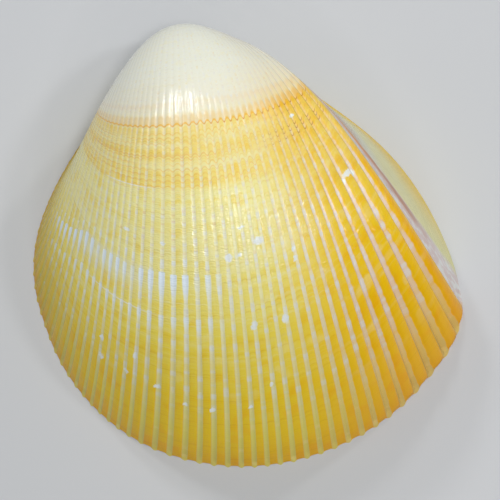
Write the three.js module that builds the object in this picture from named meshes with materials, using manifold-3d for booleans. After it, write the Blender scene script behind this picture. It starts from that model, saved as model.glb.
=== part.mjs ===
// Left valve of a cockle, lying on its rim with the domed side up.
//
// Frame, in millimetres: +Z is up through the dome, -Y points to the lower edge of the
// valve, +X to its rear end. The rim lies in the plane z = 0, the beak curls over the
// hinge at the +Y side, and the origin is the centre of the valve's footprint.
//
// A valve grows at its edge, so each older edge is a smaller copy of the rim, turned up
// about the hinge axis. A point of the outside is given by two angles: turn, from 0 at
// the rim to half a turn at the beak, and fan, the direction in which the point lies from
// the beak, from -90 degrees at the front to +90 degrees at the rear.

import * as THREE from 'three';
import { mergeVertices } from 'three/addons/utils/BufferGeometryUtils.js';
import Module from 'manifold-3d';

const { degToRad, smoothstep, lerp } = THREE.MathUtils;

// Rim: distance from the beak, by fan angle in degrees
const RIM = [
  [-90, 4.6], [-78, 7.5], [-64, 14.0], [-48, 28.7], [-32, 40.5], [-16, 50.0], [0, 55.5],
  [16, 57.4], [30, 56.2], [42, 52.4], [52, 42.4], [61, 32.8], [70, 23.4], [80, 16.4], [90, 11.9],
];

// Growth: how an edge shrinks and changes for each radian of turn
const SHRINK = [0.462, 0.167, 0.012];
const LEAN = 0.181;
const REAR_GAIN = 0.24;
const END_LOSS = 0.048;
const SKEW = 0.246;
const DOME = 1.054;
const BEAK_TURN = degToRad(176);

// Ribs: angular spacing in thousandths of a radian, by fan angle in degrees
const RIB_SPACING = [
  [-80, 30], [-27, 34], [-18, 28.5], [-8, 39], [-1, 35], [5, 31], [15, 35], [25, 40],
  [32, 52.5], [36, 63], [43, 62],
];
const LAST_GROOVE = 0.745;
const FIRST_GROOVE = -1.2;
const GROOVE_SHARE = 0.2;
const RELIEF_SHARE = 0.18;

const RIM_TOOTH = 0.25;
const TOOTH_TURN = 0.012;

// Wall, cavity and hinge
const RIM_WALL = 2.0;
const UMBO_WALL = 2.6;
const CAVITY_FRONT = degToRad(-74);
const CAVITY_REAR = degToRad(78);
const CAVITY_TURN = degToRad(104);
const ROOF_TURN = degToRad(60);
const ROOF_END = 0.85;
const SOCKET_SIZE = new THREE.Vector3(1.2, 0.8, 1.1);
const SOCKET_PLACES = [[0.4, -1.9], [4.6, -2.1]];

// Fineness of the faceted surface: older edges under these sizes use fewer columns
const OUTER_ROWS = 28;
const THIRD_OF_COLUMNS_UNDER = 0.25;
const NINTH_OF_COLUMNS_UNDER = 0.09;
const FRONT_COLUMNS = 3;
const REAR_COLUMNS = 9;
const END_GAP = 0.03;
const CAVITY_ROWS = 12;
const CAVITY_COLUMNS = 60;
const SMALL_STEP = 0.001;
const MERGE_DISTANCE = 1e-4;

function curveThrough(knots) {
  const places = knots.map((knot) => degToRad(knot[0]));
  const values = knots.map((knot) => Math.log(knot[1]));
  const curve = new THREE.CubicInterpolant(places, values, 1, [0]);
  return (fan) => Math.exp(curve.evaluate(fan)[0]);
}

const rimRadius = curveThrough(RIM);
const ribSpacing = curveThrough(RIB_SPACING);

function edgeScale(turn) {
  return Math.exp(-(SHRINK[0] * turn + SHRINK[1] * turn ** 2 + SHRINK[2] * turn ** 3));
}

// An older edge in its own half plane: x along the hinge axis, y away from it
function edgePoint(turn, fan) {
  const change = REAR_GAIN * Math.sin(fan) - END_LOSS * (1 - Math.cos(2 * fan)) - SKEW * Math.sin(2 * fan);
  const radius = edgeScale(turn) * rimRadius(fan) * Math.exp(turn * change);
  const out = radius * Math.cos(fan);
  return new THREE.Vector2(radius * Math.sin(fan) + LEAN * turn * out, out);
}

// Half plane to space: turned up about the hinge axis
function raise(point, turn) {
  return new THREE.Vector3(point.x, -point.y * Math.cos(turn), DOME * point.y * Math.sin(turn));
}

function outward(turn, fan) {
  const here = raise(edgePoint(turn, fan), turn);
  const alongFan = raise(edgePoint(turn, fan + SMALL_STEP), turn).sub(here);
  const alongTurn = raise(edgePoint(turn + SMALL_STEP, fan), turn + SMALL_STEP).sub(here);
  const normal = new THREE.Vector3().crossVectors(alongFan, alongTurn);
  if (turn === 0) normal.z = 0;
  return normal.normalize();
}

// Ribs: each groove runs from the beak to the rim at one fan angle
function grooveFans() {
  const fans = [];
  let fan = LAST_GROOVE;
  while (fan > FIRST_GROOVE) {
    fans.push(fan);
    fan -= ribSpacing(fan) / 1000;
  }
  return fans.reverse();
}

// Columns of the outside: a groove bottom and two crest edges to each rib, smooth ends
function outerColumns() {
  const columns = [];
  const smooth = (from, to, count) => {
    for (let i = 0; i <= count; i += 1) columns.push({ fan: lerp(from, to, i / count), sink: 0 });
  };
  const grooves = grooveFans();
  smooth(-Math.PI / 2, grooves[0] - END_GAP, FRONT_COLUMNS);
  grooves.forEach((fan) => {
    const period = ribSpacing(fan) / 1000;
    const half = GROOVE_SHARE * period;
    columns.push({ fan: fan - half, sink: 0 });
    columns.push({ fan, sink: RELIEF_SHARE * period });
    columns.push({ fan: fan + half, sink: 0 });
  });
  smooth(LAST_GROOVE + END_GAP, Math.PI / 2, REAR_COLUMNS);
  return columns;
}

// Grooves are sunk between the ribs, but each ends in a small tooth at the rim
function outerPoint(turn, column) {
  const point = raise(edgePoint(turn, column.fan), turn);
  if (column.sink === 0) return point;
  const sunk = column.sink * rimRadius(column.fan) * edgeScale(turn);
  return point.addScaledVector(outward(turn, column.fan), turn === 0 ? RIM_TOOTH : -sunk);
}

// Cavity: the outside set in by the wall, with its two ends joined by a straight line
function cavityEdge(turn, fan) {
  const wall = lerp(RIM_WALL, UMBO_WALL, smoothstep(turn, 0, CAVITY_TURN));
  const here = edgePoint(turn, fan);
  const along = edgePoint(turn, fan + SMALL_STEP).sub(here).normalize();
  return new THREE.Vector2(here.x + along.y * wall, here.y - along.x * wall);
}

// One row of the cavity. Past the roof turn the rows draw in to the straight line
function cavityRow(turn) {
  const front = cavityEdge(turn, CAVITY_FRONT);
  const rear = cavityEdge(turn, CAVITY_REAR);
  const past = Math.max(0, (turn - ROOF_TURN) / (CAVITY_TURN - ROOF_TURN));
  const drawn = ROOF_END * (1 - Math.sqrt(1 - past ** 2));
  return Array.from({ length: CAVITY_COLUMNS }, (_, i) => {
    const share = i / (CAVITY_COLUMNS - 1);
    const edge = cavityEdge(turn, lerp(CAVITY_FRONT, CAVITY_REAR, share));
    return raise(edge.lerp(front.clone().lerp(rear, share), drawn), turn);
  });
}

// A closed body put together from rows of points and strips of triangles between them
class Body {
  constructor() {
    this.points = [];
    this.faces = [];
  }

  row(vectors) {
    return vectors.map((vector) => this.points.push(vector) - 1);
  }

  // Triangles between two rows, each step taking the shorter way across
  strip(left, right) {
    const gap = (a, b) => this.points[a].distanceTo(this.points[b]);
    let i = 0;
    let j = 0;
    while (i < left.length - 1 || j < right.length - 1) {
      const leftGap = i < left.length - 1 ? gap(left[i + 1], right[j]) : Infinity;
      const rightGap = j < right.length - 1 ? gap(left[i], right[j + 1]) : Infinity;
      if (leftGap <= rightGap) {
        this.faces.push(left[i], right[j], left[i + 1]);
        i += 1;
      } else {
        this.faces.push(left[i], right[j], right[j + 1]);
        j += 1;
      }
    }
  }

  geometry() {
    const geometry = new THREE.BufferGeometry();
    const flat = this.points.flatMap((point) => [point.x, point.y, point.z]);
    geometry.setAttribute('position', new THREE.Float32BufferAttribute(flat, 3));
    geometry.setIndex(this.faces);
    return geometry;
  }
}

// The valve: domed outside, flat base with the cavity's mouth in it, and the cavity
function valveGeometry() {
  const body = new Body();
  const ends = (row) => [row[0], row.at(-1)];

  const columns = outerColumns();
  const outerRows = [];
  const turns = Array.from({ length: OUTER_ROWS + 1 }, (_, i) => BEAK_TURN * i / OUTER_ROWS);
  turns.splice(1, 0, TOOTH_TURN);
  turns.forEach((turn) => {
    const scale = edgeScale(turn);
    let skip = 1;
    if (scale < THIRD_OF_COLUMNS_UNDER) skip = 3;
    if (scale < NINTH_OF_COLUMNS_UNDER) skip = 9;
    const used = columns.filter((column, k) => k % skip === 0 || k === columns.length - 1);
    outerRows.push(body.row(used.map((column) => outerPoint(turn, column))));
  });
  for (let i = 1; i < turns.length; i += 1) body.strip(outerRows[i], outerRows[i - 1]);
  const beakRow = outerRows.at(-1);
  body.strip([beakRow[0]], beakRow.slice(1));

  const cavityRows = [];
  for (let i = 0; i <= CAVITY_ROWS; i += 1) {
    cavityRows.push(body.row(cavityRow(CAVITY_TURN * i / CAVITY_ROWS)));
  }
  for (let i = 0; i < CAVITY_ROWS; i += 1) {
    body.strip(cavityRows[i], cavityRows[i + 1]);
    body.strip(ends(cavityRows[i + 1]), ends(cavityRows[i]));
  }
  const deepRow = cavityRows.at(-1);
  body.strip(deepRow.slice(1), [deepRow[0]]);

  const hingeLine = outerRows.map((row) => row[0]);
  hingeLine.push(...outerRows.map((row) => row.at(-1)).reverse());
  body.strip(outerRows[0], cavityRows[0]);
  body.strip(ends(cavityRows[0]), hingeLine);
  return body.geometry();
}

const wasm = await Module();
wasm.setup();

function toSolid(geometry) {
  geometry.deleteAttribute('normal');
  geometry.deleteAttribute('uv');
  const merged = mergeVertices(geometry, MERGE_DISTANCE);
  return new wasm.Manifold(new wasm.Mesh({
    numProp: 3,
    vertProperties: new Float32Array(merged.attributes.position.array),
    triVerts: new Uint32Array(merged.index.array),
  }));
}

function toGeometry(solid) {
  const mesh = solid.getMesh();
  const geometry = new THREE.BufferGeometry();
  geometry.setAttribute('position', new THREE.BufferAttribute(mesh.vertProperties, 3));
  geometry.setIndex(new THREE.BufferAttribute(mesh.triVerts, 1));
  return geometry;
}

// Sockets in the hinge plate, on either side of the main hinge tooth
function withSockets(solid) {
  return SOCKET_PLACES.reduce((left, [x, y]) => {
    const socket = new THREE.SphereGeometry(1, 12, 8);
    socket.rotateX(Math.PI / 2);
    socket.scale(SOCKET_SIZE.x, SOCKET_SIZE.y, SOCKET_SIZE.z);
    socket.translate(x, y, 0);
    return left.subtract(toSolid(socket));
  }, solid);
}

const geometry = toGeometry(withSockets(toSolid(valveGeometry())));
geometry.computeBoundingBox();
const middle = geometry.boundingBox.getCenter(new THREE.Vector3());
geometry.translate(-middle.x, -middle.y, 0);

const valve = new THREE.Mesh(
  geometry,
  new THREE.MeshStandardMaterial({ color: 0xd9a928, roughness: 0.45, metalness: 0 }),
);
valve.name = 'left_valve';

const shell = new THREE.Group();
shell.add(valve);
export default shell;
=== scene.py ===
import math

import bpy
from mathutils import Euler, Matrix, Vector


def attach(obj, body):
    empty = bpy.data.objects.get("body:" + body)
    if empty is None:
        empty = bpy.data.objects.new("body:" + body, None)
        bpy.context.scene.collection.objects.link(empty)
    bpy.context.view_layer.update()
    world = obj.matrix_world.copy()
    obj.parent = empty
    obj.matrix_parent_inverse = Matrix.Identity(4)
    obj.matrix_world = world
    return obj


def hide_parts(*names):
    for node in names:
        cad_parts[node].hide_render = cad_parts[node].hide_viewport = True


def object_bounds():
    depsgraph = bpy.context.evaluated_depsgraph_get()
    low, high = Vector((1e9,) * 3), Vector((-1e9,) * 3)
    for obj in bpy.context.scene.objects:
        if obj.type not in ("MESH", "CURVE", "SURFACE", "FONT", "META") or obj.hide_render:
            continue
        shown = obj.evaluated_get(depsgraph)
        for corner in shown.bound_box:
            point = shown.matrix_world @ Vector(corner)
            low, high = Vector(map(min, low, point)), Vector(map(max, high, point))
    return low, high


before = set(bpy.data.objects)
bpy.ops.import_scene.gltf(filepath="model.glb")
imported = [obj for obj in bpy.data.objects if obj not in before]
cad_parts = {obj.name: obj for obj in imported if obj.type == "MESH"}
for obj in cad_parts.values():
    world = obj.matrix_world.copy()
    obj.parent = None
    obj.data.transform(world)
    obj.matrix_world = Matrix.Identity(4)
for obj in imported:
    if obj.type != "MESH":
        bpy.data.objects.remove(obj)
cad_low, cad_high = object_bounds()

# Left valve of a cockle, in one piece, grown at its edge out of chalky lime.
# Each older edge is a smaller copy of the rim, turned up about the hinge axis, so a point
# of it is given by its fan, the direction from the beak, and its turn up from the rim.

MM = 0.001

# The rim's distance from the beak in mm, and the width of a rib in thousandths of a radian,
# each by its fan in degrees, from the front to the rear
RIM = [
    (-90, 4.6), (-78, 7.5), (-64, 14.0), (-48, 28.7), (-32, 40.5), (-16, 50.0), (0, 55.5), (16, 57.4),
    (30, 56.2), (42, 52.4), (52, 42.4), (61, 32.8), (70, 23.4), (80, 16.4), (90, 11.9),
]
RIB_SPACING = [
    (-80, 30), (-27, 34), (-18, 28.5), (-8, 39), (-1, 35), (5, 31), (15, 35), (25, 40),
    (32, 52.5), (36, 63), (43, 62),
]
LAST_GROOVE = 0.745
FIRST_GROOVE = -1.2
COLUMNS_PER_RIB = 8
FRONT_COLUMNS = 8
REAR_COLUMNS = 36


def curve_through(knots):
    """A smooth curve through (degrees, value) knots. It gives the value and its logarithm's slope."""
    places = [math.radians(place) for place, _ in knots]
    logs = [math.log(value) for _, value in knots]
    secants = [(b - a) / (q - p) for a, b, p, q in zip(logs, logs[1:], places, places[1:])]
    slopes = [secants[0], *[(a + b) / 2 for a, b in zip(secants, secants[1:])], secants[-1]]

    def curve(fan):
        i = max([k for k in range(len(secants)) if places[k] <= fan], default=0)
        width = places[i + 1] - places[i]
        share = min(max((fan - places[i]) / width, 0), 1)
        rise = logs[i + 1] - logs[i]
        start, end = width * slopes[i], width * slopes[i + 1]
        sag, bend = 3 * rise - 2 * start - end, start + end - 2 * rise
        log = logs[i] + share * (start + share * (sag + share * bend))
        return math.exp(log), (start + share * (2 * sag + share * 3 * bend)) / width

    return curve


rim_radius = curve_through(RIM)
rib_spacing = curve_through(RIB_SPACING)

# The rim line has a few points to each rib. A rib's count is a whole number in its groove
grooves = [LAST_GROOVE]
while grooves[-1] > FIRST_GROOVE:
    grooves.append(grooves[-1] - rib_spacing(grooves[-1])[0] / 1000)
grooves = grooves[-2::-1] if grooves[-1] < FIRST_GROOVE else grooves[::-1]
rim_points = []
for k in range(FRONT_COLUMNS):
    rim_points.append((-math.pi / 2 + (grooves[0] + math.pi / 2) * k / FRONT_COLUMNS, 0, 0))
for count, (start, end) in enumerate(zip(grooves, grooves[1:])):
    for k in range(COLUMNS_PER_RIB):
        share = k / COLUMNS_PER_RIB
        rim_points.append((start + (end - start) * share, count + share, end - start))
for k in range(REAR_COLUMNS + 1):
    share = k / REAR_COLUMNS
    rib_width = rib_spacing(LAST_GROOVE)[0] / 1000 if k == 0 else 0
    rim_points.append((LAST_GROOVE + (math.pi / 2 - LAST_GROOVE) * share, len(grooves) - 1, rib_width))
COLUMNS = len(rim_points) - 1

# The cavity follows the outside, but stops short of the two ends of the hinge
CAVITY_FRONT = -74
CAVITY_REAR = 78
STRAIGHT_FROM = 60


def cavity_fan(fan):
    end = CAVITY_FRONT if fan < 0 else CAVITY_REAR
    past = max(0, abs(math.degrees(fan)) - STRAIGHT_FROM) / (90 - STRAIGHT_FROM)
    held = min(abs(math.degrees(fan)), STRAIGHT_FROM)
    return math.radians(math.copysign(held + past * (abs(end) - STRAIGHT_FROM), fan))


valve_mesh = bpy.data.meshes.new("cockle_valve")
valve_mesh.from_pydata([(fan, 0, 0) for fan, _, _ in rim_points], [(k, k + 1) for k in range(COLUMNS)], [])
inner_fans = [cavity_fan(fan) for fan, _, _ in rim_points]
for name, values in {
    "fan": [fan for fan, _, _ in rim_points],
    "rib": [rib for _, rib, _ in rim_points],
    "rib width": [rib_width for _, _, rib_width in rim_points],
    "radius": [rim_radius(fan)[0] * MM for fan, _, _ in rim_points],
    "inner fan": inner_fans,
    "inner radius": [rim_radius(fan)[0] * MM for fan in inner_fans],
    "inner slope": [rim_radius(fan)[1] for fan in inner_fans],
}.items():
    valve_mesh.attributes.new(name, "FLOAT", "POINT").data.foreach_set("value", values)
valve = bpy.data.objects.new("cockle_valve", valve_mesh)
bpy.context.scene.collection.objects.link(valve)


class Value:
    """A socket in a node tree. The usual operators on it add the Math nodes that they need."""

    def __init__(self, tree, socket):
        self.tree = tree
        self.socket = socket

    def node(self, kind, settings=None, sockets=None, out=0):
        """A new node: its settings are set first, and then its sockets' values or links."""
        made = self.tree.nodes.new(kind)
        for name, setting in (settings or {}).items():
            if name == "stops":
                ramp = made.color_ramp.elements
                for k, (place, colour) in enumerate(setting):
                    stop = ramp[k] if k < 2 else ramp.new(place)
                    stop.position = place
                    stop.color = (*colour, 1)
            else:
                setattr(made, name, setting)
        for name, given in (sockets or {}).items():
            if isinstance(given, Value):
                self.tree.links.new(given.socket, made.inputs[name])
            else:
                made.inputs[name].default_value = given
        return Value(self.tree, made.outputs[out]) if len(made.outputs) else None

    def math(self, operation, *others):
        return self.node("ShaderNodeMath", {"operation": operation}, dict(enumerate((self, *others))))

    def under(self, operation, other):
        """The operation with self as its second value."""
        return self.node("ShaderNodeMath", {"operation": operation}, {0: other, 1: self})

    def __add__(self, other):
        return self.math("ADD", other)

    def __sub__(self, other):
        return self.math("SUBTRACT", other)

    def __mul__(self, other):
        return self.math("MULTIPLY", other)

    def __truediv__(self, other):
        return self.math("DIVIDE", other)

    def __pow__(self, other):
        return self.math("POWER", other)

    def __gt__(self, other):
        return self.math("GREATER_THAN", other)

    def __rsub__(self, other):
        return self.under("SUBTRACT", other)

    def __rtruediv__(self, other):
        return self.under("DIVIDE", other)

    __radd__ = __add__
    __rmul__ = __mul__

    def smooth(self, start, end):
        """0 up to start, 1 from end on, and a smooth rise between. With start over end, it falls."""
        sockets = {"Value": self, "From Min": start, "From Max": end}
        return self.node("ShaderNodeMapRange", {"interpolation_type": "SMOOTHSTEP"}, sockets)

    def near(self, place, reach):
        """1 at a place, and 0 from reach away on."""
        return (self - place).math("ABSOLUTE").smooth(reach, 0.0)


tree = bpy.data.node_groups.new("Cockle growth", "GeometryNodeTree")
tree.interface.new_socket("Geometry", in_out="OUTPUT", socket_type="NodeSocketGeometry")
tree.interface.new_socket("Rim Line", in_out="INPUT", socket_type="NodeSocketGeometry")

# How an edge gets smaller and changes its form, for each radian of its turn
EDGE_SIZES = {
    "Shrink": 0.462,
    "Shrink Faster": 0.167,
    "Shrink Fastest": 0.012,
    "Lean": 0.181,
    "Rear Gain": 0.24,
    "End Loss": 0.048,
    "Skew": 0.246,
}

# The cavity, up to its last turn. From the roof's turn on it closes towards the hinge
CAVITY_SIZES = {
    "Cavity Turn": math.radians(104),
    "Roof Turn": math.radians(60),
    "Roof End": 0.85,
    "Rim Wall": 2.0 * MM,
    "Umbo Wall": 2.6 * MM,
}

# All the sizes of the growth. The depth and the crown are shares of a rib's width
growth = {
    **EDGE_SIZES,
    **CAVITY_SIZES,
    "Dome": 1.054,
    "Beak Turn": math.radians(176),
    "Groove Depth": 0.09,
    "Rib Crown": 0.055,
    "Rim Tooth": 0.25 * MM,
    "Rib Arch": 0.2 * MM,
    "Lip Rib": 0.3 * MM,
    "Plate Lift": 0.6 * MM,
}
for name in growth:
    tree.interface.new_socket(name, in_out="INPUT", socket_type="NodeSocketFloat")
tree_start = tree.nodes.new("NodeGroupInput")
size = {socket.name: Value(tree, socket) for socket in tree_start.outputs if socket.name}
rim_line = size["Rim Line"]


def formula(name, inputs, outputs, work_out):
    """A node group made from a formula on Values, as a function to use it with."""
    group = bpy.data.node_groups.new(name, "GeometryNodeTree")
    for socket in inputs:
        group.interface.new_socket(socket, in_out="INPUT", socket_type="NodeSocketFloat")
    for socket in outputs:
        group.interface.new_socket(socket, in_out="OUTPUT", socket_type="NodeSocketFloat")
    entry = group.nodes.new("NodeGroupInput")
    results = work_out(*[Value(group, socket) for socket in entry.outputs if socket.name])
    leaving = group.nodes.new("NodeGroupOutput")
    for result, socket in zip(results, leaving.inputs):
        group.links.new(result.socket, socket)

    def used(*given):
        first = given[0].node("GeometryNodeGroup", {"node_tree": group}, dict(enumerate(given)))
        return [Value(first.tree, socket) for socket in first.socket.node.outputs]

    return used


def lerp(a, b, share):
    return a + (b - a) * share


def older_edge(turn, fan, radius, shrink, faster, fastest, lean, gain, loss, skew):
    """An older edge in its own half plane: along the hinge axis, out from it, and the radius."""
    sine, cosine, double = fan.math("SINE"), fan.math("COSINE"), fan * 2
    change = gain * sine - loss * (1 - double.math("COSINE")) - skew * double.math("SINE")
    radius = radius * (turn * (change - shrink - turn * (faster + turn * fastest))).math("EXPONENT")
    out = radius * cosine
    return radius * sine + lean * turn * out, out, radius


edge_point = formula(
    "Older edge",
    ("Turn", "Fan", "Radius", *EDGE_SIZES),
    ("Along", "Out", "Radius"),
    older_edge,
)


def inset_edge(turn, fan, radius, slope, wall, *sizes):
    """The same edge, set in by the wall at a right angle to itself."""
    lean, gain, loss, skew = sizes[3:]
    along, out, radius = edge_point(turn, fan, radius, *sizes)
    sine, cosine, double = fan.math("SINE"), fan.math("COSINE"), fan * 2
    change = gain * cosine - loss * 2 * double.math("SINE") - skew * 2 * double.math("COSINE")
    growing = radius * (slope + turn * change)
    step_out = growing * cosine - radius * sine
    step_along = growing * sine + radius * cosine + lean * turn * step_out
    length = (step_along * step_along + step_out * step_out).math("SQRT")
    return along + step_out / length * wall, out - step_along / length * wall


inset_point = formula(
    "Inset edge",
    ("Turn", "Fan", "Radius", "Slope", "Wall", *EDGE_SIZES),
    ("Along", "Out"),
    inset_edge,
)


def cavity_row(turn, share, at_roof, fan, radius, slope, *sizes):
    """A point of the cavity, and the one on the straight line between the two ends of its row."""
    edge_sizes = sizes[:len(EDGE_SIZES)]
    last_turn, roof_turn, roof_end, rim_wall, umbo_wall = sizes[len(EDGE_SIZES):]
    past = ((turn - roof_turn) / (last_turn - roof_turn)).math("MAXIMUM", 0.0)
    drawn = lerp(roof_end * (1 - (1 - (past * past).math("MINIMUM", 1.0)).math("SQRT")), 1.0, at_roof)
    wall = lerp(rim_wall, umbo_wall, (turn / last_turn).smooth(0.0, 1.0))
    curved = inset_point(turn, fan, radius, slope, wall, *edge_sizes)
    ends = []
    for end_fan in (inner_fans[0], inner_fans[-1]):
        end_radius, end_slope = rim_radius(end_fan)
        ends.append(inset_point(turn, end_fan, end_radius * MM, end_slope, wall, *edge_sizes))
    straight = [lerp(front, rear, share) for front, rear in zip(*ends)]
    return [*[lerp(a, b, drawn) for a, b in zip(curved, straight)], *straight]


cavity_rule = formula(
    "Cavity row",
    ("Turn", "Share", "At Roof", "Fan", "Radius", "Slope", *EDGE_SIZES, *CAVITY_SIZES),
    ("Along", "Out", "Straight Along", "Straight Out"),
    cavity_row,
)

OUTSIDE_ROWS = 130
CAVITY_ROWS = 20
EDGE_ROWS = 8
ROW_CROWDING = 1.35
CAVITY_CROWDING = 1.6
TOOTH_TURN = 0.012
FRONT_END = -math.pi / 2
REAR_END = math.pi / 2
edge_sizes = [size[name] for name in EDGE_SIZES]
cavity_sizes = [size[name] for name in CAVITY_SIZES]


def cavity_point(turn, column, at_roof=0.0):
    at_column = [on_rim("inner " + name, column) for name in ("fan", "radius", "slope")]
    found = cavity_rule(turn, column / COLUMNS, at_roof, *at_column, *edge_sizes, *cavity_sizes)
    return found[:2], found[2:]


def raised(along, out, turn, lift=0.0):
    """Half plane to space: turned up about the hinge axis."""
    height = size["Dome"] * out * turn.math("SINE") + lift
    place = {"X": along, "Y": out * turn.math("COSINE") * -1, "Z": height}
    return along.node("ShaderNodeCombineXYZ", None, place)


def sheet(rows):
    """A grid with one column to each point of the rim line, with its row and column numbers."""
    grid = rim_line.node("GeometryNodeMeshGrid", None, {"Vertices X": COLUMNS + 1, "Vertices Y": rows + 1})
    index = rim_line.node("GeometryNodeInputIndex")
    return grid, index.math("MODULO", rows + 1), (index / (rows + 1)).math("FLOOR")


def on_rim(name, column):
    """The rim line's value of that name, at a column."""
    value = rim_line.node("GeometryNodeInputNamedAttribute", {"data_type": "FLOAT"}, {"Name": name})
    sockets = {"Geometry": rim_line, "Value": value, "Index": column}
    return rim_line.node("GeometryNodeSampleIndex", {"data_type": "FLOAT"}, sockets)


def from_groove(rib):
    """0 in the middle of a groove, and 1 on the crest of a rib."""
    return 1 - (rib.math("FRACT") - 0.5).math("ABSOLUTE") * 2


def placed(mesh, place):
    return mesh.node("GeometryNodeSetPosition", None, {"Geometry": mesh, "Position": place})


def shifted(mesh, direction, distance):
    sockets = {"Vector": direction, "Scale": distance}
    offset = mesh.node("ShaderNodeVectorMath", {"operation": "SCALE"}, sockets)
    return mesh.node("GeometryNodeSetPosition", None, {"Geometry": mesh, "Offset": offset})


def marked(mesh, side, **values):
    """The sheet with what its finish reads: 0 outside or 1 inside, and its growth values."""
    for name, value in {"side": side, **values}.items():
        settings = {"data_type": "FLOAT", "domain": "FACE" if name == "side" else "POINT"}
        sockets = {"Geometry": mesh, "Name": name, "Value": value}
        mesh = mesh.node("GeometryNodeStoreNamedAttribute", settings, sockets)
    return mesh


def trough(crest):
    """1 on the bottom of a groove, and 0 from its edge up to the crest."""
    return crest.smooth(0.44, 0.12)


def has_ribs(column):
    """1 where the rim line has ribs, and 0 on the smooth slopes, where their width is 0."""
    return on_rim("rib width", column) > 0.001


def outer_rim(column):
    """The rim itself, with a small tooth at each groove and each rib's end arched off the ground."""
    crest = from_groove(on_rim("rib", column))
    tooth = size["Rim Tooth"] * trough(crest) * has_ribs(column)
    arch = size["Rib Arch"] * crest.smooth(0.3, 0.9) * has_ribs(column)
    return tooth, arch


# The outside, with its ribs from the beak to the rim and a groove between each two. At the
# rear the ribs are higher and the grooves deeper, and both are worn down towards the umbo
REAR_CROWN = 2.2
REAR_DEPTH = 0.7
outside, row, column = sheet(OUTSIDE_ROWS)
turn = (row / OUTSIDE_ROWS) ** ROW_CROWDING * size["Beak Turn"]
at_beak = row > OUTSIDE_ROWS - 0.5
at_rim = turn.smooth(TOOTH_TURN, 0.0)
fan = on_rim("fan", column)
end_fan = lerp(fan, FRONT_END, at_beak)
end_radius = lerp(on_rim("radius", column), RIM[0][1] * MM, at_beak)
along, out, radius = edge_point(turn, end_fan, end_radius, *edge_sizes)
tooth, arch = outer_rim(column)
grown = 1 + tooth * at_rim / radius
outside = placed(outside, raised(along * grown, out * grown, turn, arch * at_rim))
crest = from_groove(on_rim("rib", column))
crown = 1 - (1 - crest) ** 2
relief = size["Rib Crown"] * (1 + fan.smooth(0.2, 0.6) * REAR_CROWN) * crown
relief = relief - size["Groove Depth"] * (1 + fan.smooth(0.3, 0.6) * REAR_DEPTH) * trough(crest)
worn = 1 - 0.45 * turn.smooth(0.25, 0.7) - 0.4 * turn.smooth(0.9, 1.3)
relief = relief * on_rim("rib width", column) * radius * worn * (1 - at_rim) * (1 - at_beak)
outside = shifted(outside, rim_line.node("GeometryNodeInputNormal"), relief)
outside = marked(outside, 0.0, turn=turn, fan=fan, rib=on_rim("rib", column))

# The flat edge of the wall, from the cavity's mouth out to the rim
lip, row, column = sheet(EDGE_ROWS)
share = row / EDGE_ROWS
turn = share * 0
mouth, _ = cavity_point(turn, column)
along, out, radius = edge_point(turn, on_rim("fan", column), on_rim("radius", column), *edge_sizes)
tooth, arch = outer_rim(column)
grown = 1 + tooth / radius
lip_along = lerp(mouth[0], along * grown, share)
lip_out = lerp(mouth[1], out * grown, share)
lip = placed(lip, raised(lip_along, lip_out, turn, arch * share))
lip = marked(lip, 1.0, turn=turn, fan=on_rim("fan", column), rib=on_rim("rib", column))

# The cavity, with short ribs inside its mouth that lock with the other valve's
cavity, row, column = sheet(CAVITY_ROWS)
turn = (1 - row / CAVITY_ROWS) ** CAVITY_CROWDING * size["Cavity Turn"]
curved, _ = cavity_point(turn, column, row.math("LESS_THAN", 0.5))
cavity = placed(cavity, raised(*curved, turn))
lip_rib = size["Lip Rib"] * has_ribs(column) * turn.smooth(0.12, 0.02) * turn.smooth(0.0, 0.01)
lip_rib = lip_rib * (from_groove(on_rim("rib", column)) - 0.5) * -1
cavity = shifted(cavity, rim_line.node("GeometryNodeInputNormal"), lip_rib)
cavity = marked(cavity, 1.0, turn=turn, fan=on_rim("fan", column), rib=on_rim("rib", column))

# The straight wall under the hinge, between the two ends of the cavity
hinge_wall, row, column = sheet(CAVITY_ROWS)
turn = (row / CAVITY_ROWS) ** CAVITY_CROWDING * size["Cavity Turn"]
_, straight = cavity_point(turn, column)
hinge_wall = placed(hinge_wall, raised(*straight, turn))
hinge_wall = marked(hinge_wall, 1.0, turn=turn, fan=on_rim("fan", column), rib=on_rim("rib", column))

# The hinge plate, from the hinge line to that wall, with the main tooth and its two sockets
TOOTH_PLACE = (2.5 * MM, -1.9 * MM)
SOCKET_PLACES = [(0.4 * MM, -1.9 * MM), (4.6 * MM, -2.1 * MM)]
TOOTH_REACH = (1.2 * MM, 0.9 * MM)
SOCKET_REACH = (1.2 * MM, 0.8 * MM)
SOCKET_DEPTH = 1.1 * MM
plate, row, column = sheet(EDGE_ROWS)
share = row / EDGE_ROWS
turn = share * 0
_, straight = cavity_point(turn, column)
to_middle = 1 - (column / (COLUMNS / 2) - 1).math("ABSOLUTE")
hinge_row = (to_middle * OUTSIDE_ROWS).math("ROUND")
hinge_turn = (hinge_row / OUTSIDE_ROWS) ** ROW_CROWDING * size["Beak Turn"]
rearward = (column > COLUMNS / 2) * hinge_row.math("LESS_THAN", OUTSIDE_ROWS - 0.5)
hinge_fan = lerp(FRONT_END + turn, REAR_END, rearward)
hinge_radius = lerp(RIM[0][1] * MM + turn, RIM[-1][1] * MM, rearward)
along, out, _ = edge_point(hinge_turn, hinge_fan, hinge_radius, *edge_sizes)
along = lerp(along, straight[0], share)
out = lerp(out, straight[1], share)
inner = share.smooth(0.0, 0.3) * share.smooth(1.0, 0.7) * to_middle.smooth(0.0, 0.2)


def away(place, reach):
    """How far a point of the plate is from a place, counted in the reach along and out."""
    x = (along - place[0]) / reach[0]
    y = (out + place[1]) / reach[1]
    return (x * x + y * y).math("SQRT")


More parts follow.
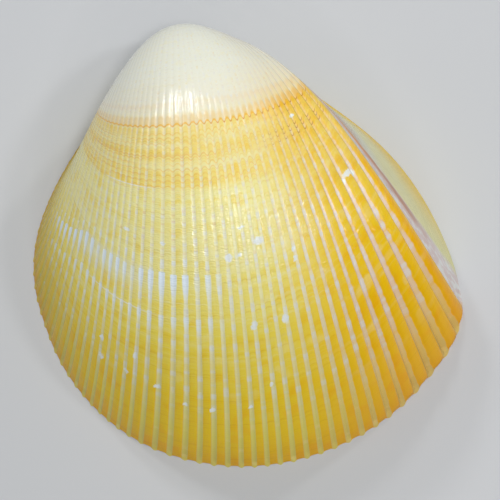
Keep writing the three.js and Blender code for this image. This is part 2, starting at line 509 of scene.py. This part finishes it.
lift = size["Plate Lift"] * (1 - away(TOOTH_PLACE, TOOTH_REACH).smooth(1.0, 0.3))
for place in SOCKET_PLACES:
    lift = lift + away(place, SOCKET_REACH).smooth(1.2, 0.2) * SOCKET_DEPTH
plate = placed(plate, raised(along, out, turn, lift * inner))
plate_turn = lerp(hinge_turn, turn, share)
plate_fan = lerp(hinge_fan, on_rim("fan", column), share)
plate = marked(plate, 1.0, turn=plate_turn, fan=plate_fan, rib=on_rim("rib", column))

# The five sheets are joined at their edges into one closed skin
MERGE_DISTANCE = 0.001 * MM
SHARP_ANGLE = math.radians(50)
whole = rim_line.node("GeometryNodeJoinGeometry")
for part in (plate, hinge_wall, cavity, lip, outside):
    tree.links.new(part.socket, whole.socket.node.inputs[0])
sockets = {"Geometry": whole, "Distance": MERGE_DISTANCE}
whole = whole.node("GeometryNodeMergeByDistance", None, sockets)
sockets = {"Geometry": whole, "Shade Smooth": True}
whole = whole.node("GeometryNodeSetShadeSmooth", {"domain": "FACE"}, sockets)
is_sharp = whole.node("GeometryNodeInputMeshEdgeAngle") > SHARP_ANGLE
sockets = {"Geometry": whole, "Selection": is_sharp, "Shade Smooth": False}
whole = whole.node("GeometryNodeSetShadeSmooth", {"domain": "EDGE"}, sockets)

# Its finish: colours laid down with the growth lines, under a thin natural gloss.
# A node that mixes colours has its sockets at these numbers
MIX_SHARE, MIX_UNDER, MIX_OVER, MIX_RESULT = 0, 6, 7, 2
finish = bpy.data.materials.new("cockle_shell")
finish.use_nodes = True
finish.node_tree.nodes.clear()
brush = Value(finish.node_tree, None)


def blend(under, over, share, how="MIX"):
    """One colour laid over another."""
    under, over = [(*colour, 1) if isinstance(colour, tuple) else colour for colour in (under, over)]
    settings = {"data_type": "RGBA", "blend_type": how}
    sockets = {MIX_SHARE: share, MIX_UNDER: under, MIX_OVER: over}
    return brush.node("ShaderNodeMix", settings, sockets, MIX_RESULT)


def noise(x, y, detail=2.0, z=0.0):
    """Cloudy noise from 0 to 1, about 0.5, in the plane of two growth values."""
    place = brush.node("ShaderNodeCombineXYZ", None, {"X": x, "Y": y, "Z": z})
    return brush.node("ShaderNodeTexNoise", None, {"Vector": place, "Scale": 1.0, "Detail": detail})


turn, fan, rib, side = [
    brush.node("ShaderNodeAttribute", {"attribute_name": name}, None, "Fac")
    for name in ("turn", "fan", "rib", "side")
]
crest = from_groove(rib)
which_groove = (rib + 0.5).math("FLOOR")
ribbed = fan.smooth(0.755, 0.73) * fan.smooth(-1.25, -1.1)
rearward = fan.smooth(0.12, 0.5)

# A growth line arches over each rib and dips in each groove, most of all at the rear.
# Its age is its turn at the grooves, so 0 is the rim and the oldest lines are at the beak
arch_height = (0.003 + 0.012 * fan.smooth(-0.5, 0.3)) * ribbed * (0.4 + 0.6 * turn.smooth(0.7, 0.9))
age = turn + arch_height * crest.smooth(0.85, 0.05) + (noise(fan * 3, turn * 2) - 0.5) * 0.008

RIB_YELLOWS = [
    (0.0, (0.86, 0.45, 0.001)), (0.04, (0.90, 0.54, 0.001)), (0.1, (0.92, 0.62, 0.001)),
    (0.22, (0.93, 0.66, 0.025)), (0.24, (0.93, 0.70, 0.05)), (0.38, (0.93, 0.77, 0.11)),
    (0.46, (0.93, 0.80, 0.18)), (0.56, (0.92, 0.83, 0.26)), (0.60, (0.93, 0.86, 0.36)),
    (0.80, (0.93, 0.86, 0.36)), (0.82, (0.95, 0.75, 0.19)), (0.865, (0.95, 0.79, 0.26)),
    (0.88, (0.94, 0.85, 0.40)), (0.93, (0.95, 0.75, 0.20)), (0.97, (0.94, 0.84, 0.40)),
    (1.02, (0.95, 0.74, 0.20)), (1.035, (0.93, 0.84, 0.52)), (1.08, (0.92, 0.86, 0.62)),
    (1.11, (0.91, 0.88, 0.72)), (1.3, (0.90, 0.91, 0.78)),
]
RIB_ORANGES = [
    (0.0, (0.90, 0.40, 0.002)), (0.05, (0.92, 0.48, 0.002)), (0.2, (0.93, 0.54, 0.003)),
    (0.34, (0.95, 0.58, 0.004)), (0.45, (0.95, 0.62, 0.010)), (0.62, (0.95, 0.66, 0.050)),
    (0.68, (0.93, 0.62, 0.050)), (0.75, (0.93, 0.70, 0.140)), (0.80, (0.94, 0.62, 0.040)),
    (0.845, (0.94, 0.70, 0.120)), (0.89, (0.94, 0.62, 0.050)), (0.96, (0.94, 0.68, 0.110)),
    (1.015, (0.94, 0.58, 0.030)), (1.035, (0.93, 0.66, 0.200)), (1.07, (0.93, 0.74, 0.360)),
    (1.12, (0.91, 0.82, 0.560)), (1.3, (0.88, 0.86, 0.700)),
]
GROOVE_PALES = [
    (0.0, (0.74, 0.62, 0.14)), (0.1, (0.80, 0.72, 0.15)), (0.18, (0.80, 0.74, 0.28)),
    (0.3, (0.86, 0.77, 0.34)), (0.45, (0.92, 0.87, 0.46)), (0.6, (0.92, 0.88, 0.52)),
    (0.75, (0.92, 0.88, 0.52)), (0.88, (0.92, 0.83, 0.44)), (1.0, (0.93, 0.82, 0.44)),
    (1.035, (0.93, 0.86, 0.66)), (1.3, (0.91, 0.92, 0.80)),
]
GROOVE_PINKS = [
    (0.0, (0.74, 0.53, 0.16)), (0.1, (0.84, 0.60, 0.18)), (0.22, (0.84, 0.63, 0.38)),
    (0.35, (0.83, 0.66, 0.52)), (0.6, (0.85, 0.68, 0.54)), (0.8, (0.84, 0.66, 0.44)),
    (0.9, (0.86, 0.62, 0.28)), (1.02, (0.86, 0.60, 0.30)), (1.04, (0.92, 0.74, 0.48)),
    (1.3, (0.88, 0.86, 0.70)),
]
OLDEST = 1.6


def by_age(stops):
    """A colour that changes with the growth lines, from the rim to the beak."""
    stops = [(place / OLDEST, colour) for place, colour in stops]
    return brush.node("ShaderNodeValToRGB", {"stops": stops}, {"Fac": age / OLDEST}, "Color")


rib_colour = blend(by_age(RIB_YELLOWS), by_age(RIB_ORANGES), rearward)
groove_colour = blend(by_age(GROOVE_PALES), by_age(GROOVE_PINKS), rearward)

# The ribs have broad bands of deeper and paler yellow, patches, and fine growth lines
young = age.smooth(1.08, 1.0)
bands = noise(fan * 1.5, age * 45, 3.0)
deeper = bands.smooth(0.45, 0.75) * (0.15 + 0.55 * young)
paler = bands.smooth(0.5, 0.25) * 0.22 * age.smooth(0.15, 0.4)
rib_colour = blend(rib_colour, (1, 0.93, 0.62), deeper, "MULTIPLY")
rib_colour = blend(rib_colour, (0.95, 0.9, 0.6), paler)
patches = noise(fan * 14, age * 20, 1.0, 9.0)
deeper = patches.smooth(0.54, 0.7) * 0.7 * young
paler = patches.smooth(0.42, 0.3) * 0.22 * age.smooth(0.1, 0.3)
rib_colour = blend(rib_colour, (1, 0.86, 0.4), deeper, "MULTIPLY")
rib_colour = blend(rib_colour, (0.95, 0.88, 0.5), paler)
stripes = noise(fan * 2.5, age * 130, 2.0, 7.0)
fine = 1 - 0.6 * rearward
deeper = stripes.smooth(0.55, 0.7) * (0.25 + 0.6 * young) * fine
paler = stripes.smooth(0.42, 0.3) * 0.25 * age.smooth(0.2, 0.4) * fine
rib_colour = blend(rib_colour, (0.93, 0.88, 0.72), deeper, "MULTIPLY")
rib_colour = blend(rib_colour, (0.96, 0.92, 0.58), paler)

# The grooves are beaded with paler chalk, pinker towards the umbo and darker at their front edge: partly a
# stain, and towards the rear painted shade on the ribs' walls
GROOVE_EDGE = 0.055
beads = noise(which_groove * 3.7, age * 42, 1.0)
pink = noise(which_groove * 5.3, age * 110, 1.0)
chalky = beads.smooth(0.48, 0.66) * 0.5 * age.smooth(0.12, 0.26)
groove_colour = blend(groove_colour, (0.80, 0.83, 0.88), chalky)
groove_colour = blend(groove_colour, (0.90, 0.76, 0.30), beads.smooth(0.45, 0.3) * 0.5)
pinker = pink.smooth(0.5, 0.75) * 0.45 * age.smooth(0.3, 0.8)
groove_colour = blend(groove_colour, (0.80, 0.52, 0.28), pinker)
groove_colour = blend(groove_colour, (0.84, 0.50, 0.16), beads.smooth(0.42, 0.28) * 0.5 * rearward)
groove_width = 0.36 + (0.10 + 0.15 * rearward) * (beads - 0.5) - 0.06 * rearward
groove_width = groove_width + 0.05 * fan.smooth(-0.5, 0.0) * age.smooth(0.6, 0.2)
in_groove = ((crest - groove_width) / GROOVE_EDGE).smooth(0.5, -0.5) * ribbed
in_groove = in_groove * (1 - 0.5 * age.smooth(0.6, 1.05)) * (0.55 + 0.45 * fan.smooth(-0.75, -0.35))
body = blend(rib_colour, groove_colour, in_groove)
last_rib = fan.near(0.71, 0.028) * turn.smooth(0.85, 0.6) * ribbed
body = blend(body, (0.93, 0.40, 0.002), last_rib * 0.55)
brown_edge = crest.near(groove_width, 0.10) * rearward * ribbed * age.smooth(0.15, 0.4)
body = blend(body, (0.74, 0.38, 0.08), brown_edge * 0.25)
# Darker orange at each groove's front edge: partly a stain, and its stronger share towards the rear is
# painted shade on the rib's wall.
edge_stain_and_shade = rib.math("FRACT").near(0.80, 0.05) * ribbed
edge_stain_and_shade = edge_stain_and_shade * age.smooth(0.5, 0.25) * fan.smooth(-0.6, -0.2)
body = blend(body, (0.78, 0.42, 0.10), edge_stain_and_shade * (0.35 + 0.5 * fan.smooth(0.42, 0.62)))

# Chalk runs down the front grooves below each growth stop, given by its age, length and strength
STOPS = [
    (0.603, 0.03, 0.5), (0.565, 0.12, 1.0), (0.445, 0.07, 0.7),
    (0.375, 0.05, 0.35), (0.235, 0.03, 0.3),
]
front_half = fan.smooth(0.08, -0.08) * fan.smooth(-0.8, -0.66)
nothing = front_half * 0.0
slipped = age + ((-0.5 - fan) * 0.7).math("MAXIMUM", 0.0)
chalk = nothing
for place, length, strength in STOPS:
    chance = noise(which_groove * 7.3, nothing + place * 40, 0.0)
    below = (place + (chance - 0.5) * 0.02 - slipped) / (length * (0.5 + chance))
    run = below.smooth(1.0, 0.15) * below.smooth(0.0, 0.05)
    narrow = (crest - (0.10 + 0.45 * strength * run)).smooth(0.12, -0.12)
    chalk = chalk.math("MAXIMUM", run * narrow * (strength * chance.smooth(0.15, 0.42)))
chalk = chalk * front_half
# Pale blue-white on the front: the runs in the grooves are chalk, the band on the ribs is partly chalk and
# partly painted sheen, and the blue cast of both is painted sheen.
rib_chalk_and_sheen = slipped.smooth(0.45, 0.53) * slipped.smooth(0.575, 0.562)
rib_chalk_and_sheen = rib_chalk_and_sheen * fan.smooth(-0.1, -0.35) * fan.smooth(-0.62, -0.45) * 0.3
body = blend(body, (0.82, 0.92, 1.0), chalk.math("MAXIMUM", rib_chalk_and_sheen))
# Painted shade: the lower front flank is made darker, and a little greener, towards the front and towards
# the rim.
painted_front_shade = fan.smooth(-0.3, -0.7) * turn.smooth(0.5, 0.1)
body = blend(body, (0.78, 0.81, 0.78), painted_front_shade, "MULTIPLY")

# The darkest growth line crosses every rib, under a blush of orange
line_place = 1.037 - 0.012 * fan.smooth(-0.05, 0.2) + 0.012 * fan.smooth(0.6, 0.72)
from_line = age - line_place
blush = from_line.smooth(0.0, 0.004) * from_line.smooth(0.05, 0.025)
blush = blush + from_line.near(0.085, 0.025) * 0.4
body = blend(body, (0.90, 0.55, 0.14), blush * (1 - in_groove * 0.8) * (0.38 + 0.3 * rearward))
line = from_line.near(0.0, 0.007)
body = blend(body, (0.93, 0.50, 0.03), line * (0.85 - 0.2 * in_groove))
rear_lines = from_line.near(-0.03, 0.004) * 0.6 + from_line.near(-0.088, 0.004)
rear_lines = rear_lines + from_line.near(-0.105, 0.004) + from_line.near(-0.125, 0.004)
dark = from_line.near(0.0, 0.004) + rear_lines * rearward
dark = dark * crest.smooth(0.55, 0.3) * ribbed * (0.3 + 0.55 * fan.smooth(-0.1, 0.35))
body = blend(body, (0.50, 0.19, 0.02), dark)

# Below it come close zigzags, an older line at the front and two pale ones
ZIGZAG_STEP = 0.0185
zigzags = (age * (2 * math.pi / ZIGZAG_STEP)).math("SINE").smooth(0.3, 1.0)
zigzags = zigzags * turn.smooth(0.78, 0.82) * turn.smooth(1.03, 1.0)
zigzags = zigzags * noise(fan * 6, age * 60, 1.0, 6.0).smooth(0.35, 0.6)
body = blend(body, (0.88, 0.52, 0.10), zigzags * 0.45)
wavering = age + (noise(fan * 8, age * 2) - 0.5) * 0.01
old_line = wavering.near(0.922, 0.005) * fan.smooth(0.15, 0.0)
body = blend(body, (0.86, 0.45, 0.10), old_line * 0.5)
pale_line = turn.near(0.812, 0.003) + turn.near(0.437, 0.0025)
pale_line = pale_line * fan.smooth(-0.46, -0.42) * fan.smooth(-0.16, -0.3)
body = blend(body, (0.92, 0.93, 0.92), pale_line * 0.8)

# Small scars and chips of white chalk, given by their fan, turn, half width and half height
SCARS = [
    (0.15, 0.628, 0.020, 0.012), (0.045, 0.600, 0.014, 0.012), (0.082, 0.603, 0.008, 0.008),
    (0.10, 0.676, 0.014, 0.006), (0.10, 0.410, 0.012, 0.014), (0.195, 0.408, 0.012, 0.016),
    (0.265, 0.573, 0.009, 0.008), (0.265, 0.547, 0.009, 0.008), (-0.175, 0.645, 0.012, 0.006),
    (-0.315, 0.662, 0.016, 0.006), (0.46, 0.955, 0.018, 0.007), (0.59, 0.668, 0.032, 0.012),
    (0.615, 0.655, 0.012, 0.016), (0.56, 0.655, 0.008, 0.012), (0.675, 0.660, 0.012, 0.007),
    (-0.36, 0.213, 0.010, 0.012), (-0.365, 0.275, 0.008, 0.012), (-0.275, 0.225, 0.008, 0.008),
    (-0.25, 0.29, 0.008, 0.012), (-0.18, 0.222, 0.012, 0.008), (-0.03, 0.182, 0.008, 0.008),
    (-0.10, 0.19, 0.008, 0.008), (0.13, 0.246, 0.006, 0.006), (0.07, 0.191, 0.006, 0.006),
]
ragged_fan = fan + (noise(fan * 90, turn * 90) - 0.5) * 0.016
ragged_turn = turn + (noise(fan * 90, turn * 90, 2.0, 5.0) - 0.5) * 0.016
spot = brush.node("ShaderNodeCombineXYZ", None, {"X": ragged_fan, "Y": ragged_turn})
scars = nothing
for fan_place, turn_place, half_width, half_height in SCARS:
    sockets = {0: spot, 1: (fan_place, turn_place, 0)}
    away_from = brush.node("ShaderNodeVectorMath", {"operation": "SUBTRACT"}, sockets)
    sockets = {0: away_from, 1: (half_width, half_height, 1)}
    counted = brush.node("ShaderNodeVectorMath", {"operation": "DIVIDE"}, sockets)
    reach = brush.node("ShaderNodeVectorMath", {"operation": "LENGTH"}, {0: counted}, "Value")
    scars = scars.math("MAXIMUM", reach.smooth(1.1, 0.6))
body = blend(body, (0.86, 0.92, 0.94), scars * 0.9)

# Behind the last rib: a lavender strip with a brown ridge line, then the smooth rear slope
strip = fan.smooth(0.732, 0.75)
fray = (noise(fan * 60, turn * 12) - 0.5) * 0.02
streaks = noise(fan * 120, turn * 20).smooth(0.45, 0.6)
strip_colour = blend((0.72, 0.62, 0.60), (0.80, 0.80, 0.78), streaks)
ridge = (fan + fray).near(0.783, 0.028)
strip_colour = blend(strip_colour, (0.50, 0.22, 0.12), ridge * turn.smooth(0.12, 0.4) * 0.95)
strip_colour = blend(strip_colour, (0.72, 0.28, 0.06), ridge * turn.near(0.70, 0.2) * 0.9)
margin = turn.smooth(0.36, 0.03) * fan.smooth(0.79, 0.98)
slope_colour = blend((0.80, 0.77, 0.36), (0.88, 0.60, 0.02), margin)
slope_colour = blend(slope_colour, (0.64, 0.68, 0.62), turn.smooth(0.4, 0.6) * 0.7)
stain = (noise(fan * 40, age * 30, 2.0, 4.0) - 0.5) * 0.6 + 0.72
stain = stain * age.smooth(0.55, 0.72) * fan.smooth(1.25, 0.95)
slope_colour = blend(slope_colour, (0.46, 0.26, 0.14), stain)
slope_lines = noise(fan * 4, age * 60, 3.0)
slope_colour = blend(slope_colour, (0.86, 0.80, 0.44), slope_lines.smooth(0.5, 0.8) * 0.4)
past_ridge = (fan + fray).smooth(0.79, 0.81)
rear_colour = blend(strip_colour, slope_colour, past_ridge)
rear_colour = blend(rear_colour, (0.86, 0.52, 0.16), age.smooth(0.78, 0.9) * 0.45)
rear_colour = blend(rear_colour, (0.90, 0.91, 0.78), age.smooth(1.04, 1.2))
rear_colour = blend(rear_colour, (0.80, 0.42, 0.08), from_line.near(0.0, 0.015) * 0.7)
body = blend(body, rear_colour, strip)

# The inside is cream, and tan towards its edge
lining = blend((0.88, 0.86, 0.80), (0.86, 0.70, 0.34), turn.smooth(0.25, 0.0))
body = blend(body, lining, side)

# Fine growth lamellae and grit break up the gloss, least of all on the worn umbo
LAMELLA_STEP = 0.0066
BUMP_HEIGHT = 0.1 * MM
lamella = (age * (2 * math.pi / LAMELLA_STEP) + noise(fan * 12, age * 30) * 9).math("SINE")
lamella = lamella * noise(fan * 40, age * 40, 1.0, 3.0).smooth(0.3, 0.6)
coarse = noise(fan * 4, age * 90, 3.0)
grit = noise(fan * 100, age * 170, 1.0)
rough = turn.smooth(0.3, 0.45) * turn.smooth(1.03, 0.96)
height = lamella * 0.12 + (coarse - 0.5) * 0.7 + (grit - 0.5) * (0.2 + 0.8 * rough)
height = height * (1 - side) * (0.3 + 0.7 * age.smooth(1.1, 0.98))
bump = brush.node("ShaderNodeBump", None, {"Strength": 0.6, "Distance": BUMP_HEIGHT, "Height": height})
shell = brush.node("ShaderNodeBsdfPrincipled", None, {
    "Base Color": body,
    "Roughness": 0.13 + 0.10 * in_groove + 0.3 * chalk,
    "Normal": bump,
    "Specular IOR Level": 0.36,
})
brush.node("ShaderNodeOutputMaterial", None, {"Surface": shell})

whole = whole.node("GeometryNodeRealizeInstances", None, {"Geometry": whole})
whole = whole.node("GeometryNodeSetMaterial", None, {"Geometry": whole, "Material": finish})
tree_end = tree.nodes.new("NodeGroupOutput")
tree.links.new(whole.socket, tree_end.inputs["Geometry"])

# The growth starts from its beak at the origin. The valve's middle is then put over the solid's
modifier = valve.modifiers.new("Growth", "NODES")
modifier.node_group = tree
for item in tree.interface.items_tree:
    if item.name in growth:
        modifier[item.identifier] = growth[item.name]
depsgraph = bpy.context.evaluated_depsgraph_get()
grown_mesh = bpy.data.meshes.new_from_object(valve.evaluated_get(depsgraph))
valve.modifiers.clear()
valve.data = grown_mesh
corners = [vertex.co for vertex in grown_mesh.vertices]
middle = [(min(c[axis] for c in corners) + max(c[axis] for c in corners)) / 2 for axis in range(2)]
cad_middle = (cad_low + cad_high) / 2
beak = Vector((cad_middle.x - middle[0], cad_middle.y - middle[1], 0))
for vertex in grown_mesh.vertices:
    vertex.co += beak
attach(valve, "root")
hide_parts("left_valve")

# A plain pale floor: one sheet of smooth matt board, coated in a single colour,
# wide enough that its edges stay out of sight. The valve lies on it, on its rim.
FLOOR_SIZE = 4.0
BOARD_COLOUR = (0.6105, 0.6240, 0.6445, 1)
BOARD_ROUGHNESS = 0.7
bpy.ops.mesh.primitive_plane_add(size=FLOOR_SIZE, location=(0, 0, 0))
floor = bpy.context.object
floor.name = "floor"
board = bpy.data.materials.new("board")
board.use_nodes = True
paint = board.node_tree.nodes["Principled BSDF"]
paint.inputs["Base Color"].default_value = BOARD_COLOUR
paint.inputs["Roughness"].default_value = BOARD_ROUGHNESS
floor.data.materials.append(board)

# Studio light: round lamps with diffusers, all turned to the valve. One and a ring of
# small ones are beside the camera, one is on the right, two are behind the umbo, one is
# behind the rear slope and a faint one is in front. The room itself is dim and pale.
ROOM_COLOUR = (0.92, 0.96, 1.0, 1)
ROOM_STRENGTH = 0.13
RING_LAMPS = 16
RING_RADIUS = 0.15
RING_LAMP_SIZE = 0.02
RING_POWER = 0.44


def soft_light(name, place, width, power):
    lamp = bpy.data.lights.new(name, "AREA")
    lamp.shape = "DISK"
    lamp.size = width
    lamp.energy = power
    holder = bpy.data.objects.new(name, lamp)
    holder.location = place
    holder.rotation_euler = (-Vector(place)).to_track_quat("-Z", "Y").to_euler()
    bpy.context.scene.collection.objects.link(holder)


soft_light("camera_lamp", (0.06, -0.10, 0.42), 0.08, 0.50)
soft_light("key_lamp", (0.28, -0.02, 0.35), 0.05, 0.24)
ring_middle = Vector((0.03, -0.19, 0.40))
ring_across = Vector((1, 0, 0))
ring_up = ring_middle.cross(ring_across).normalized()
for k in range(RING_LAMPS):
    around = 2 * math.pi * k / RING_LAMPS
    spread = ring_across * math.cos(around) + ring_up * math.sin(around)
    soft_light("ring_lamp", ring_middle + spread * RING_RADIUS, RING_LAMP_SIZE, RING_POWER / RING_LAMPS)
soft_light("umbo_lamp", (-0.05, 0.36, 0.32), 0.045, 0.29)
soft_light("back_lamp", (-0.18, 0.37, 0.30), 0.05, 0.44)
soft_light("rear_lamp", (0.33, 0.28, 0.20), 0.04, 0.34)
soft_light("front_lamp", (-0.42, 0.06, 0.24), 0.10, 0.05)
world = bpy.data.worlds.new("studio")
world.use_nodes = True
world.node_tree.nodes["Background"].inputs["Color"].default_value = ROOM_COLOUR
world.node_tree.nodes["Background"].inputs["Strength"].default_value = ROOM_STRENGTH
bpy.context.scene.world = world
bpy.context.scene.view_settings.view_transform = "Standard"

# Camera: a long lens high above the valve, so that there is little perspective. It looks
# down 14 degrees off the vertical, from past the lower rim. Its place is counted from the
# beak in mm, in its own turned axes.
LENS = 206.4
SENSOR = 36
CAMERA_TURN = (-0.2403, -0.0563, 0.157)
CAMERA_PLACE = (11.154, -24.0916, 402.48)
camera_data = bpy.data.cameras.new("camera")
camera_data.lens = LENS
camera_data.sensor_width = SENSOR
camera = bpy.data.objects.new("camera", camera_data)
turned = Euler(CAMERA_TURN, "XYZ").to_matrix().transposed()
camera.location = turned @ Vector(CAMERA_PLACE) * MM + beak
camera.rotation_euler = turned.to_euler()
bpy.context.scene.collection.objects.link(camera)
bpy.context.scene.camera = camera
